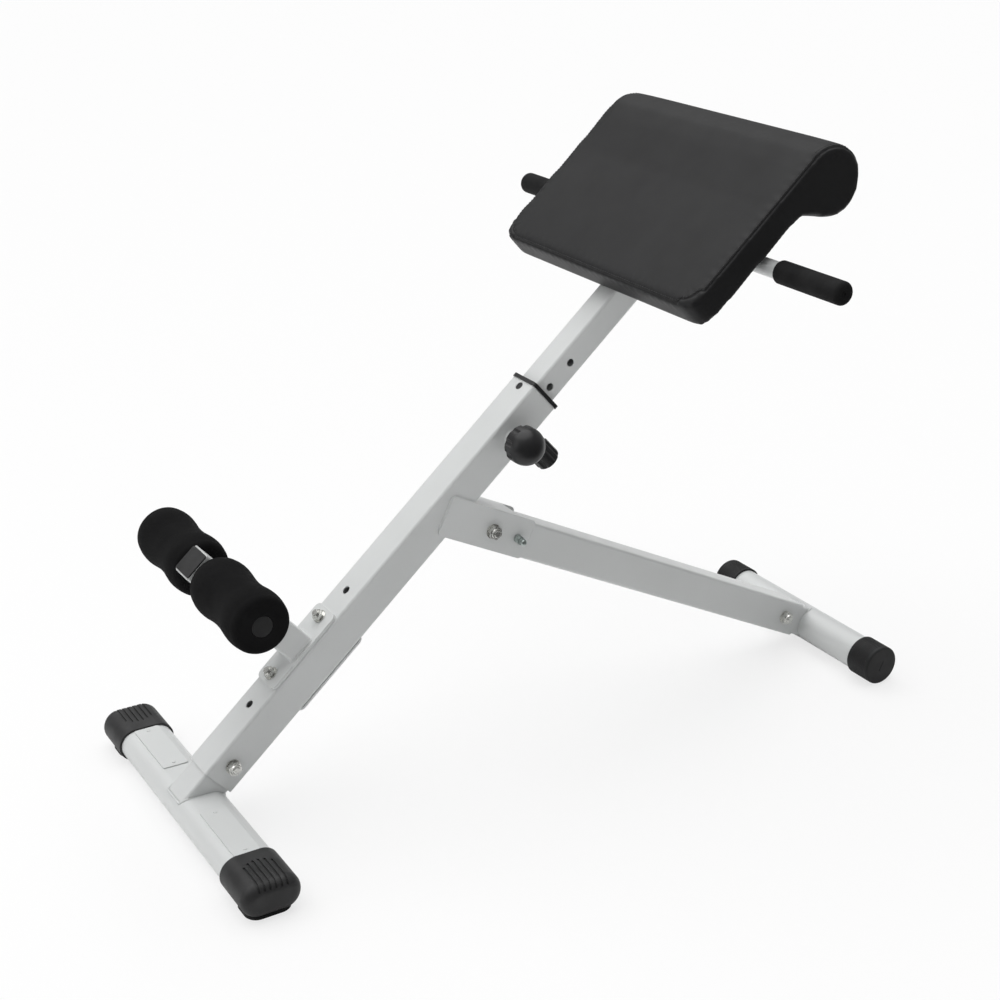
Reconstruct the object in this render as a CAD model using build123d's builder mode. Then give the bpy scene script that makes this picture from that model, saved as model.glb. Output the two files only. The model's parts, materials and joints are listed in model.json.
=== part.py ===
from build123d import *
import os
from math import asin, cos, degrees, radians, sin, sqrt

os.makedirs("parts", exist_ok=True)

# Roman chair (hyperextension bench). Millimetres, +Z up. +X points from the
# foot-plate base towards the folding front leg, -Y is the right-hand side.
# Origin: the middle of the footprint, on the floor.

# ---- driving dimensions -------------------------------------------------
wall = 2.0                  # wall of every square tube
running = 0.10              # radial clearance of a shaft in its hole
slide_gap = 0.30            # clearance between faces that move past each other
seat_fit = 0.05             # clearance of pieces pushed together
corner = 4.0                # outer corner radius of every square tube
beyond = 400.0              # a cut longer than anything it passes through
m10 = 10.0                  # frame bolts and clamp screw
m8 = 8.0                    # roller bracket bolts
m6 = 6.0                    # pad screws
loose = 0.25                # radial clearance of bolts in plates
washer_thickness = 1.6
head_across = 1.65          # hexagon across flats, as a multiple of the shank
head_height = 0.64
nut_height = 0.70
lock_ring_height = 0.25     # nylon ring of a lock nut
bolt_past_nut = 1.1

base_width = 70.0           # flat-oval rear crossbar, along X
base_height = 40.0
base_length = 400.0
base_wall = 2.0
cap_wall = 3.0              # moulded end caps
cap_reach = 73.0            # length of a base cap along the bar
cap_grip = 31.0             # how much of the bar goes into the cap
cap_round = 14.0            # rounding of its outer end
cap_lip = 1.0
cap_groove_pitch = 7.1      # finger grooves across the top
cap_groove_width = 2.8
cap_groove_depth = 1.7
cap_groove_outer = 72.0     # where all grooves end, from the cap's mouth
cap_groove_inner = (27.0, 21.5, 19.0, 19.0, 21.5, 27.0)
foot_pad_width = 58.0
foot_pad_length = 48.0
foot_pad_round = 16.0
foot_pad_at = 41.0          # its middle from the cap's mouth
foot_pad_sunk = 5.0         # how far it rises round the cap's underside
foot_pad_height = 4.9       # rubber pad under each base cap
tread_width = 34.0
tread_length = 108.0
tread_thickness = 1.5
tread_start = 60.0          # inner end of a tread plate from the middle
tread_screw_inset = 8.5
tread_screw_dia = 3.0
tread_screw_head = 5.0
tread_screw_rise = 0.6
tread_screw_depth = 6.0

post_angle = 41.6           # lean of the main post above the floor
post_size = 50.0
post_length = 638.0
post_gap = 37.8             # base centre to the lower end, along the post
post_rise = 7.9             # post axis above the base centre
hole_pitch = 46.75          # roller adjusting holes
first_hole = 99.6
hole_count = 5
adjust_hole = 11.0
stub_size = post_size - 2 * wall - 2.0
stub_wall = 3.0
stub_sunk = 9.5             # the base stub starts this far below the base centre
stub_depth = 95.0           # how far a stub reaches into its tube
post_bolt_at = 28.0
nub_back = 8.5              # locating nub before the post's upper end
nub_dia = 11.0

hinge_at = 467.2            # hinge bolt, along the post
hinge_drop = 73.2           # hinge bolt below the post axis
leg_size = 50.0
leg_reach = 634.4           # hinge to the front crossbar
leg_short = 34.4            # leg tube ends this far before the crossbar axis
leg_bolt_back = 61.6        # leg bolt before the crossbar axis
bracket_wall = 3.0
bracket_behind = 79.0       # bracket reach behind and ahead of the hinge
bracket_ahead = 60.0
bracket_top = 29.0
bracket_bottom = 25.5
web_ahead = 37.0
bracket_corner = 6.0
lock_pin_at = 41.5          # lock pin from the hinge, along the leg
lock_pin_dia = 10.8
lock_pin_reach = 19.0       # how far it stands out of the bracket
lock_tip_dia = 9.0
lock_tip_length = 9.0
lock_pin_nose = 3.0         # rounding of its tip
lock_head_dia = 20.0        # pull head on the left-hand side
lock_head_length = 12.0
lock_head_round = 2.0
mouth_under = 8.0           # start of the leg's lower wall from the hinge
cheek_radius = 24.0

front_dia = 50.8            # round front crossbar
front_length = 348.0
front_wall = 2.0
front_cap_wall = 3.3
front_cap_length = 41.0
front_cap_end = 4.0
front_cap_round = 3.0
ring_count = 10             # fine rings round a front cap
ring_pitch = 3.3
ring_first = 4.0
ring_width = 0.9
ring_depth = 0.45
end_slot_length = 17.0
end_slot_width = 1.2
end_slot_depth = 0.8

roller_middle = first_hole + 2 * hole_pitch
roller_plate_length = 121.0
roller_plate_width = 48.0
roller_plate_thickness = 4.0
roller_plate_corner = 8.0
backing_thickness = 3.0
roller_washer_dia = 18.0
roller_bolt_past = 11.5     # bolt end above the roller plate
roller_post_size = 38.0
roller_post_top = 226.0     # above the post axis
post_plug_head = 2.0
post_plug_depth = 14.0
plug_wall = 2.0
plug_corner = 2.4
axle_height = 191.4         # above the post axis
axle_dia = 25.4
axle_length = 306.0
axle_wall = 1.5
axle_plug_depth = 14.0
foam_dia = 76.0
foam_waist = 68.5
foam_shoulder = 9.0         # fall of the profile at a roller's end
foam_lobe = 25.0            # widest place from a roller's end
foam_flat = 11.0            # half the length of the nearly straight waist
foam_length = 134.0
foam_start = 21.0           # inner end of a roller from the middle

seat_size = 38.0
seat_low = post_length - 262.0      # lower end of the seat tube, along the post
seat_high = post_length + 322.0
seat_pitch = 41.7           # height adjusting holes
seat_hole = 10.5
pin_at = post_length - 67.5         # pull pin, along the post
clamp_at = post_length - 48.0
sleeve_length = 90.0
sleeve_flange = 5.0
sleeve_lip = 1.8            # flange stands proud of the post
sleeve_corner = 3.5

handle_at = post_length + 276.4
handle_rise = 3.1
handle_dia = 22.0
handle_wall = 1.5
handle_length = 676.0
grip_dia = handle_dia + 7.4
grip_start = 231.5
grip_length = 114.0
grip_round = 6.0
grip_lip = 1.2
grip_vent_dia = 3.0

pad_plate_thickness = 3.0
pad_low = post_length + 162.0       # cushion, along the post
pad_back = seat_size / 2 + pad_plate_thickness      # underside of the pad above the post axis
pad_thickness = 40.0
pad_half_width = 216.0
roll_at = post_length + 405.0       # centre of the thick upper roll
roll_rise = 18.5
board_thickness = 12.0
board_inset = 16.0
board_corner = 14.0
board_end = 30.0            # board stops this far before the roll's centre
pad_corner = 20.0           # rounding of the lower corners
roll_tuck = 58.0            # where the underside leaves the roll
roll_turn = 218.0           # degrees of the roll's arc
pad_plate_width = 110.0
pad_plate_corner = 8.0
pad_plate_before = 74.0     # plate's lower end before the handle bar
pad_screw_inset = 12.0
pad_screw_side = 44.0
pad_screw_across = 10.0
pad_screw_head = 4.0
pad_screw_short = 1.0       # screws end inside the board

housing_dia = 19.0          # welded collar of the pull pin
housing_length = 13.0
knob_radius = 25.0          # ball knob of the pull pin
knob_centre = 61.0
knob_height = 38.0
knob_flutes = 9
knob_flute_depth = 2.3      # flutes run round the rear rim only
knob_flute_past = 3.0       # and end this far past the ball's middle
knob_rear_round = 3.0
clamp_nut_across = 17.0
clamp_nut_height = 8.0
clamp_knob_dia = 34.0
clamp_knob_back = 60.0      # from the post axis
clamp_knob_height = 29.0
clamp_knob_flutes = 8
clamp_knob_flute_depth = 1.9
clamp_knob_crown = 3.0
flute_reach = 1.6           # flute cutter's centre and radius, in flute depths
flute_radius = 2.6
shank_in_knob = 0.55        # depth of a knob's bore, as a part of its height

# ---- derived frames -------------------------------------------------------
t = radians(post_angle)
u = Vector(cos(t), 0, sin(t))               # up along the post
n = Vector(-sin(t), 0, cos(t))              # out of the post's upper face
Y = Vector(0, 1, 0)

base_z = foot_pad_height + cap_wall + base_height / 2
front_radius = front_dia / 2 + front_cap_wall
hinge_rise = post_rise - hinge_drop
hinge_off_base = u * (post_gap + hinge_at) + n * hinge_rise
leg_fall = base_z + hinge_off_base.Z - front_radius
leg_down = -degrees(asin(leg_fall / leg_reach))
front_off_base = hinge_off_base.X + leg_reach * cos(radians(leg_down))
base_half = base_width / 2 + cap_wall
base_x = base_half - (base_half + front_off_base + front_radius) / 2

base_centre = Vector(base_x, 0, base_z)
post_foot = base_centre + u * post_gap + n * post_rise
hinge = base_centre + hinge_off_base
a = radians(leg_down)
lu = Vector(cos(a), 0, sin(a))              # down along the leg
ln = Vector(-sin(a), 0, cos(a))
front_centre = hinge + lu * leg_reach

half = post_size / 2
leg_half = leg_size / 2
bracket_inside = leg_half + slide_gap
bracket_outside = bracket_inside + bracket_wall


def across_post(s):
    """Section plane of the post: x is +Y, y is out of the upper face."""
    return Plane(origin=post_foot + u * s, x_dir=Y, z_dir=u)


def beside_post(y=0.0):
    """Side plane: x is along the post, y out of the upper face, z is -Y."""
    return Plane(origin=post_foot + Y * y, x_dir=u, z_dir=-Y)


def over_post(v):
    """Plane parallel to the upper face at height v: x along the post, y is +Y."""
    return Plane(origin=post_foot + n * v, x_dir=u, z_dir=n)


def across_leg(s):
    return Plane(origin=hinge + lu * s, x_dir=Y, z_dir=lu)


def beside_leg(y=0.0):
    return Plane(origin=hinge + Y * y, x_dir=lu, z_dir=-Y)


def beside_base(y=0.0):
    return Plane(origin=base_centre + Y * y, x_dir=(1, 0, 0), z_dir=-Y)


def finish(builder, name):
    """Label a finished piece and write it out."""
    builder.part.label = name
    export_step(builder.part, f"parts/{name}.step")


def square_tube(size, thickness):
    """Outline of a square tube, for use inside a BuildSketch."""
    RectangleRounded(size, size, corner)
    RectangleRounded(size - 2 * thickness, size - 2 * thickness,
                     corner - thickness + 0.5, mode=Mode.SUBTRACT)


def cross_hole(plane, dia):
    """Cuts one hole right through the current part, both ways from the plane."""
    with BuildSketch(plane) as hole:
        Circle(dia / 2 + running)
    extrude(hole.sketch, amount=post_size, both=True, mode=Mode.SUBTRACT)


def hexagon(across):
    RegularPolygon(across / 2, 6, major_radius=False)


def mirrored(builder, name):
    """The left-hand twin of a right-hand piece."""
    with BuildPart() as twin:
        mirror(builder.part, about=Plane.XZ)
    finish(twin, name)
    return twin


# ---- rear base ------------------------------------------------------------
tread_top = base_z + base_height / 2
tread_end = tread_start + tread_length
screw_spots = [sign * y for sign in (-1, 1)
               for y in (tread_start + tread_screw_inset, tread_end - tread_screw_inset)]
screw_plane = Plane(origin=(base_x, 0, tread_top))

with BuildPart() as base_tube:
    with BuildSketch(beside_base()):
        SlotOverall(base_width, base_height)
        SlotOverall(base_width - 2 * base_wall, base_height - 2 * base_wall, mode=Mode.SUBTRACT)
    extrude(amount=base_length / 2, both=True)
    with BuildSketch(screw_plane):
        with Locations([(0, y) for y in screw_spots]):
            Circle(tread_screw_dia / 2 + seat_fit)
    extrude(amount=-base_wall * 2, mode=Mode.SUBTRACT)
finish(base_tube, "base_tube")

post_bolt_plane = beside_post().shift_origin(post_foot + u * post_bolt_at)
with BuildPart() as base_stub:
    with BuildSketch(across_post(-post_gap - stub_sunk)):
        square_tube(stub_size, stub_wall)
    extrude(amount=stub_sunk + post_gap + stub_depth)
    with BuildSketch(beside_base()):
        SlotOverall(base_width, base_height)
    extrude(amount=post_size, both=True, mode=Mode.SUBTRACT)
    cross_hole(post_bolt_plane, m10)
    with BuildSketch(Plane(origin=(base_x, 0, 0))):
        Rectangle(beyond, beyond)
    extrude(amount=base_z, mode=Mode.SUBTRACT)
finish(base_stub, "base_stub")

cap_start = base_length / 2 - cap_grip
cap_width = base_width + 2 * cap_wall
cap_height = base_height + 2 * cap_wall
with BuildPart() as groove_floor:
    with BuildSketch(beside_base(-cap_start)):
        SlotOverall(cap_width - 2 * cap_groove_depth, cap_height - 2 * cap_groove_depth)
    extrude(amount=cap_reach - cap_groove_depth)
    fillet(groove_floor.faces().sort_by(Axis.Y)[0].edges(), radius=cap_round - cap_groove_depth)
with BuildPart() as grooves:
    with BuildSketch(Plane(origin=(base_x, -cap_start, base_z + cap_height / 2))):
        for i, inner in enumerate(cap_groove_inner):
            across = (i - (len(cap_groove_inner) - 1) / 2) * cap_groove_pitch
            with Locations((across, -(inner + cap_groove_outer) / 2)):
                SlotOverall(cap_groove_outer - inner, cap_groove_width, rotation=90)
    extrude(amount=-cap_round)
    add(groove_floor.part, mode=Mode.SUBTRACT)
with BuildPart() as base_cap_right:
    with BuildSketch(beside_base(-cap_start)):
        SlotOverall(cap_width, cap_height)
    extrude(amount=cap_reach)
    fillet(base_cap_right.faces().sort_by(Axis.Y)[0].edges(), radius=cap_round)
    fillet(base_cap_right.faces().sort_by(Axis.Y)[-1].edges(), radius=cap_lip)
    with BuildSketch(beside_base(-cap_start)):
        SlotOverall(base_width + 2 * seat_fit, base_height + 2 * seat_fit)
    extrude(amount=cap_grip + seat_fit, mode=Mode.SUBTRACT)
    add(grooves.part, mode=Mode.SUBTRACT)
finish(base_cap_right, "base_cap_right")
mirrored(base_cap_right, "base_cap_left")

with BuildPart() as foot_pad_right:
    with BuildSketch(Plane(origin=(base_x, -(cap_start + foot_pad_at), 0))):
        RectangleRounded(foot_pad_width, foot_pad_length, foot_pad_round)
    extrude(amount=foot_pad_height + foot_pad_sunk)
    with BuildSketch(beside_base(-cap_start)):
        SlotOverall(cap_width, cap_height)
    extrude(amount=cap_reach, mode=Mode.SUBTRACT)
    chamfer(foot_pad_right.faces().sort_by(Axis.Z)[0].edges(), length=1.0)
finish(foot_pad_right, "foot_pad_right")
mirrored(foot_pad_right, "foot_pad_left")

tread_spot = -(tread_start + tread_length / 2)
with BuildPart() as tread_plate_right:
    with BuildSketch(Plane(origin=(base_x, tread_spot, tread_top))):
        RectangleRounded(tread_width, tread_length, 3.0)
        with Locations((0, tread_length / 2 - tread_screw_inset),
                       (0, tread_screw_inset - tread_length / 2)):
            Circle(tread_screw_dia / 2 + seat_fit, mode=Mode.SUBTRACT)
    extrude(amount=tread_thickness)
finish(tread_plate_right, "tread_plate_right")
mirrored(tread_plate_right, "tread_plate_left")

with BuildPart() as tread_screws:
    with BuildSketch(screw_plane.offset(-tread_screw_depth)):
        with Locations([(0, y) for y in screw_spots]):
            Circle(tread_screw_dia / 2)
    extrude(amount=tread_screw_depth + tread_thickness)
    with BuildSketch(screw_plane.offset(tread_thickness)):
        with Locations([(0, y) for y in screw_spots]):
            Circle(tread_screw_head / 2)
    extrude(amount=tread_screw_rise, taper=35)
finish(tread_screws, "tread_screws")

# ---- main post ------------------------------------------------------------
hole_spots = [first_hole + i * hole_pitch for i in range(hole_count)]
nub_at = post_length - nub_back
with BuildPart() as main_post:
    with BuildSketch(across_post(0)):
        square_tube(post_size, wall)
    extrude(amount=post_length)
    with BuildSketch(over_post(0)):
        with Locations([(s, 0) for s in hole_spots]):
            Circle(adjust_hole / 2)
    extrude(amount=post_size, both=True, mode=Mode.SUBTRACT)
    with BuildSketch(over_post(0)):
        with Locations((nub_at, 0)):
            Circle(nub_dia / 2 + seat_fit)
    extrude(amount=post_size, mode=Mode.SUBTRACT)
    with BuildSketch(over_post(0)):
        with Locations((clamp_at, 0)):
            Circle(m10 / 2 + running)
    extrude(amount=-post_size, mode=Mode.SUBTRACT)
    with BuildSketch(beside_post()):
        with Locations((pin_at, 0)):
            Circle(seat_hole / 2)
    extrude(amount=post_size, mode=Mode.SUBTRACT)
    cross_hole(post_bolt_plane, m10)
finish(main_post, "main_post")

sleeve_outside = post_size - 2 * wall - 2 * seat_fit
sleeve_inside = seat_size + 2 * slide_gap
with BuildPart() as post_sleeve:
    with BuildSketch(across_post(post_length - sleeve_length)):
        RectangleRounded(sleeve_outside, sleeve_outside, plug_corner)
    extrude(amount=sleeve_length)
    with BuildSketch(across_post(post_length)):
        RectangleRounded(post_size + 2 * sleeve_lip, post_size + 2 * sleeve_lip, corner + sleeve_lip)
    extrude(amount=sleeve_flange)
    with BuildSketch(across_post(post_length - sleeve_length)):
        RectangleRounded(sleeve_inside, sleeve_inside, sleeve_corner)
    extrude(amount=sleeve_length + sleeve_flange, mode=Mode.SUBTRACT)
    with BuildSketch(over_post(sleeve_outside / 2 - 0.5)):
        with Locations((nub_at, 0)):
            Circle(nub_dia / 2)
    extrude(amount=wall)
    with BuildSketch(over_post(0)):
        with Locations((clamp_at, 0)):
            Circle(m10 / 2 + running)
    extrude(amount=-half, mode=Mode.SUBTRACT)
    with BuildSketch(beside_post()):
        with Locations((pin_at, 0)):
            Circle(seat_hole / 2)
    extrude(amount=half, mode=Mode.SUBTRACT)
finish(post_sleeve, "post_sleeve")


# ---- fasteners ------------------------------------------------------------
def cross_bolt(plane, shank, grip, name):
    """Bolt through a tube along the plane's normal, its nut towards +normal.

    grip is half the clamped width. Writes bolt, nut and washers.
    """
    head_width = shank * head_across
    plate = washer_thickness
    with BuildPart() as bolt:
        with BuildSketch(plane.offset(-grip - plate)):
            Circle(shank / 2)
        extrude(amount=2 * grip + 2 * plate + shank * bolt_past_nut)
        tip = bolt.faces().filter_by(GeomType.PLANE).sort_by(Axis(plane.origin, plane.z_dir))[-1]
        chamfer(tip.edges(), length=shank * 0.08)
        with BuildSketch(plane.offset(-grip - plate)):
            hexagon(head_width)
        extrude(amount=-shank * head_height)
    finish(bolt, f"{name}_bolt")
    with BuildPart() as nut:
        with BuildSketch(plane.offset(grip + plate)):
            hexagon(head_width)
        extrude(amount=shank * nut_height)
        with BuildSketch(plane.offset(grip + plate + shank * nut_height)):
            Circle(head_width * 0.44)
        extrude(amount=shank * lock_ring_height, taper=20)
        with BuildSketch(plane.offset(grip + plate)):
            Circle(shank / 2 + seat_fit)
        extrude(amount=shank, mode=Mode.SUBTRACT)
    finish(nut, f"{name}_nut")
    with BuildPart() as washers:
        with BuildSketch(plane.offset(grip), plane.offset(-grip - plate)):
            Circle(shank)
            Circle(shank / 2 + seat_fit, mode=Mode.SUBTRACT)
        extrude(amount=plate)
    finish(washers, f"{name}_washers")


leg_bolt_plane = beside_leg().shift_origin(hinge + lu * (leg_reach - leg_bolt_back))
cross_bolt(post_bolt_plane, m10, half, "post")
cross_bolt(beside_leg(), m10, bracket_outside, "hinge")
cross_bolt(leg_bolt_plane, m10, leg_half, "leg")

# ---- hinge bracket --------------------------------------------------------
with BuildPart() as hinge_bracket:
    middle = (bracket_ahead - bracket_behind) / 2
    rise = (bracket_top - bracket_bottom) / 2
    with BuildSketch(beside_leg()):
        with Locations((middle, rise)):
            RectangleRounded(bracket_behind + bracket_ahead, bracket_top + bracket_bottom, bracket_corner)
    extrude(amount=bracket_outside, both=True)
    with BuildSketch(beside_leg()):
        with Locations((middle, rise)):
            Rectangle(bracket_behind + bracket_ahead, bracket_top + bracket_bottom)
    extrude(amount=bracket_inside, both=True, mode=Mode.SUBTRACT)
    with BuildSketch(beside_leg()):
        with Locations((web_ahead, bracket_top)):
            Rectangle(bracket_behind + web_ahead - bracket_corner, bracket_wall,
                      align=(Align.MAX, Align.MAX))
    extrude(amount=bracket_inside, both=True)
    with BuildSketch(across_post(hinge_at)):
        RectangleRounded(post_size, post_size, corner)
    extrude(amount=beyond, both=True, mode=Mode.SUBTRACT)
    with BuildSketch(over_post(half)):
        with Locations((hinge_at, 0)):
            Rectangle(beyond, 2 * bracket_inside)
    extrude(amount=beyond, mode=Mode.SUBTRACT)
    with BuildSketch(beside_leg()):
        Circle(m10 / 2 + running)
        with Locations((lock_pin_at, 0)):
            Circle(lock_pin_dia / 2 + running)
    extrude(amount=bracket_outside, both=True, mode=Mode.SUBTRACT)
finish(hinge_bracket, "hinge_bracket")

# ---- front leg ------------------------------------------------------------
slot_half = lock_pin_dia / 2 + slide_gap
leg_mouth = sqrt((lock_pin_at + slot_half) ** 2 - (leg_half - wall) ** 2) + 0.5
with BuildPart() as leg_tube:
    with BuildSketch(across_leg(-cheek_radius)):
        square_tube(leg_size, wall)
    extrude(amount=cheek_radius + leg_reach - leg_short)
    # the open mouth: only the two cheeks reach back to the hinge
    with BuildSketch(beside_leg()):
        with Locations((leg_mouth, 0)):
            Rectangle(beyond, leg_half + 1, align=(Align.MAX, Align.MIN))
    extrude(amount=leg_half - wall, both=True, mode=Mode.SUBTRACT)
    with BuildSketch(beside_leg()):
        with Locations((mouth_under, 0)):
            Rectangle(beyond, leg_half + 1, align=(Align.MAX, Align.MAX))
    extrude(amount=leg_half - wall, both=True, mode=Mode.SUBTRACT)
    # cheeks rounded about the hinge, with the lock pin's hook slot
    with BuildSketch(beside_leg()):
        Rectangle(beyond, 2 * leg_size, align=(Align.MAX, Align.CENTER))
        Circle(cheek_radius, mode=Mode.SUBTRACT)
    extrude(amount=leg_half, both=True, mode=Mode.SUBTRACT)
    with BuildSketch(beside_leg()):
        Circle(lock_pin_at + slot_half)
        Circle(lock_pin_at - slot_half, mode=Mode.SUBTRACT)
        Polygon((0, 0), (leg_size, 0), (leg_size, 2 * leg_size), align=None, mode=Mode.INTERSECT)
        with Locations((lock_pin_at, 0)):
            Circle(slot_half)
    extrude(amount=leg_half, both=True, mode=Mode.SUBTRACT)
    cross_hole(beside_leg(), m10)
    cross_hole(leg_bolt_plane, m10)
finish(leg_tube, "leg_tube")

front_plane = Plane(origin=front_centre, x_dir=(1, 0, 0), z_dir=-Y)
with BuildPart() as leg_stub:
    with BuildSketch(across_leg(leg_reach)):
        square_tube(leg_size - 2 * wall - 1.0, stub_wall)
    extrude(amount=-stub_depth - leg_short)
    with BuildSketch(front_plane):
        Circle(front_dia / 2)
    extrude(amount=leg_size, both=True, mode=Mode.SUBTRACT)
    cross_hole(leg_bolt_plane, m10)
finish(leg_stub, "leg_stub")

with BuildPart() as front_tube:
    with BuildSketch(front_plane):
        Circle(front_dia / 2)
        Circle(front_dia / 2 - front_wall, mode=Mode.SUBTRACT)
    extrude(amount=front_length / 2, both=True)
finish(front_tube, "front_tube")

cap_mouth = front_length / 2 + front_cap_end - front_cap_length
with BuildPart() as front_cap_right:
    with BuildSketch(front_plane.offset(cap_mouth)):
        Circle(front_radius)
    extrude(amount=front_cap_length)
    fillet(front_cap_right.faces().sort_by(Axis.Y)[0].edges(), radius=front_cap_round)
    with BuildSketch(front_plane.offset(cap_mouth)):
        Circle(front_dia / 2 + seat_fit)
    extrude(amount=front_cap_length - front_cap_end, mode=Mode.SUBTRACT)
    with BuildSketch(*[front_plane.offset(cap_mouth + ring_first + k * ring_pitch)
                       for k in range(ring_count)]):
        Circle(front_radius + 1)
        Circle(front_radius - ring_depth, mode=Mode.SUBTRACT)
    extrude(amount=ring_width, mode=Mode.SUBTRACT)
    with BuildSketch(front_plane.offset(cap_mouth + front_cap_length)):
        SlotOverall(end_slot_length, end_slot_width, rotation=65)
    extrude(amount=-end_slot_depth, mode=Mode.SUBTRACT)
finish(front_cap_right, "front_cap_right")
mirrored(front_cap_right, "front_cap_left")

# ---- leg lock pin ---------------------------------------------------------
pin_plane = beside_leg().shift_origin(hinge + lu * lock_pin_at)
shank_end = bracket_outside + lock_pin_reach - lock_tip_length
with BuildPart() as lock_pin:
    with BuildSketch(pin_plane.offset(-bracket_outside)):
        Circle(lock_pin_dia / 2)
    extrude(amount=bracket_outside + shank_end)
    with BuildSketch(pin_plane.offset(shank_end)):
        Circle(lock_tip_dia / 2)
    extrude(amount=lock_tip_length)
    fillet(lock_pin.faces().sort_by(Axis.Y)[0].edges(), radius=lock_pin_nose)
    with BuildSketch(pin_plane.offset(-bracket_outside)):
        Circle(lock_head_dia / 2)
    extrude(amount=-lock_head_length)
    fillet(lock_pin.faces().sort_by(Axis.Y)[-1].edges(), radius=lock_head_round)
finish(lock_pin, "lock_pin")

# ---- roller bracket on the post --------------------------------------------
bolt_spots = [roller_middle - hole_pitch, roller_middle + hole_pitch]
with BuildPart() as roller_plate:
    with BuildSketch(over_post(half)):
        with Locations((roller_middle, 0)):
            RectangleRounded(roller_plate_length, roller_plate_width, roller_plate_corner)
        with Locations([(s, 0) for s in bolt_spots]):
            Circle(m8 / 2 + loose, mode=Mode.SUBTRACT)
    extrude(amount=roller_plate_thickness)
finish(roller_plate, "roller_plate")

with BuildPart() as backing_plate:
    with BuildSketch(over_post(-half)):
        with Locations((roller_middle, 0)):
            RectangleRounded(roller_plate_length, roller_plate_width, roller_plate_corner)
        with Locations([(s, 0) for s in bolt_spots]):
            Circle(m8 / 2 + loose, mode=Mode.SUBTRACT)
    extrude(amount=-backing_thickness)
finish(backing_plate, "backing_plate")

plate_top = half + roller_plate_thickness
under_head = half + backing_thickness
with BuildPart() as roller_bolts:
    with BuildSketch(over_post(-under_head)):
        with Locations([(s, 0) for s in bolt_spots]):
            Circle(m8 / 2)
    extrude(amount=under_head + plate_top + roller_bolt_past)
    with BuildSketch(over_post(-under_head)):
        with Locations([(s, 0) for s in bolt_spots]):
            hexagon(m8 * head_across)
    extrude(amount=-m8 * head_height)
finish(roller_bolts, "roller_bolts")

with BuildPart() as roller_washers:
    with BuildSketch(over_post(plate_top)):
        with Locations([(s, 0) for s in bolt_spots]):
            Circle(roller_washer_dia / 2)
            Circle(m8 / 2 + seat_fit, mode=Mode.SUBTRACT)
    extrude(amount=washer_thickness)
finish(roller_washers, "roller_washers")

nut_foot = plate_top + washer_thickness
with BuildPart() as roller_nuts:
    with BuildSketch(over_post(nut_foot)):
        with Locations([(s, 0) for s in bolt_spots]):
            hexagon(m8 * head_across)
    extrude(amount=m8 * nut_height)
    with BuildSketch(over_post(nut_foot + m8 * nut_height)):
        with Locations([(s, 0) for s in bolt_spots]):
            Circle(m8 * head_across * 0.44)
    extrude(amount=m8 * lock_ring_height, taper=20)
    with BuildSketch(over_post(nut_foot)):
        with Locations([(s, 0) for s in bolt_spots]):
            Circle(m8 / 2 + seat_fit)
    extrude(amount=2 * m8, mode=Mode.SUBTRACT)
finish(roller_nuts, "roller_nuts")

axle_plane = beside_post().shift_origin(post_foot + u * roller_middle + n * axle_height)
plug_foot = roller_post_top - post_plug_head
with BuildPart() as roller_post:
    with BuildSketch(over_post(plate_top)):
        with Locations((roller_middle, 0)):
            square_tube(roller_post_size, wall)
    extrude(amount=plug_foot - plate_top)
    with BuildSketch(axle_plane):
        Circle(axle_dia / 2 + seat_fit)
    extrude(amount=roller_post_size, both=True, mode=Mode.SUBTRACT)
finish(roller_post, "roller_post")

plug_size = roller_post_size - 2 * wall - 2 * seat_fit
with BuildPart() as roller_post_plug:
    with BuildSketch(over_post(plug_foot - post_plug_depth)):
        with Locations((roller_middle, 0)):
            RectangleRounded(plug_size, plug_size, plug_corner)
            Rectangle(plug_size - 2 * plug_wall, plug_size - 2 * plug_wall, mode=Mode.SUBTRACT)
    extrude(amount=post_plug_depth)
    with BuildSketch(over_post(plug_foot)):
        with Locations((roller_middle, 0)):
            RectangleRounded(plug_size, roller_post_size, plug_corner)
    extrude(amount=post_plug_head)
    fillet(roller_post_plug.faces().sort_by(Axis(post_foot, n))[-1].edges(), radius=post_plug_head * 0.4)
finish(roller_post_plug, "roller_post_plug")

with BuildPart() as roller_axle:
    with BuildSketch(axle_plane):
        Circle(axle_dia / 2)
        Circle(axle_dia / 2 - axle_wall, mode=Mode.SUBTRACT)
    extrude(amount=axle_length / 2, both=True)
finish(roller_axle, "roller_axle")

foam_end = foam_start + foam_length
with BuildPart() as axle_plug_right:
    with BuildSketch(axle_plane.offset(axle_length / 2)):
        Circle(axle_dia / 2)
    extrude(amount=foam_end - axle_length / 2)
    with BuildSketch(axle_plane.offset(axle_length / 2)):
        Circle(axle_dia / 2 - axle_wall - seat_fit)
    extrude(amount=-axle_plug_depth)
finish(axle_plug_right, "axle_plug_right")
mirrored(axle_plug_right, "axle_plug_left")

# dog-bone foam roller: flared ends, waisted middle
axle_point = post_foot + u * roller_middle + n * axle_height
foam_bore = axle_dia / 2 + slide_gap
lobe = foam_dia / 2
waist = foam_waist / 2
with BuildPart() as foam_roller_right:
    with BuildSketch(Plane(origin=axle_point, x_dir=-Y, z_dir=n)):
        with BuildLine():
            side_a = Line((foam_start, foam_bore), (foam_start, lobe - foam_shoulder))
            skin = Spline(side_a @ 1,
                          (foam_start + foam_shoulder, lobe - foam_shoulder * 0.16),
                          (foam_start + foam_lobe, lobe),
                          (foam_start + foam_length / 2 - foam_flat, waist + 0.2),
                          (foam_start + foam_length / 2 + foam_flat, waist + 0.2),
                          (foam_end - foam_lobe, lobe),
                          (foam_end - foam_shoulder, lobe - foam_shoulder * 0.16),
                          (foam_end, lobe - foam_shoulder))
            side_b = Line(skin @ 1, (foam_end, foam_bore))
            Line(side_b @ 1, side_a @ 0)
        make_face()
    revolve(axis=Axis(axle_point, Y), revolution_arc=360)
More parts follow.
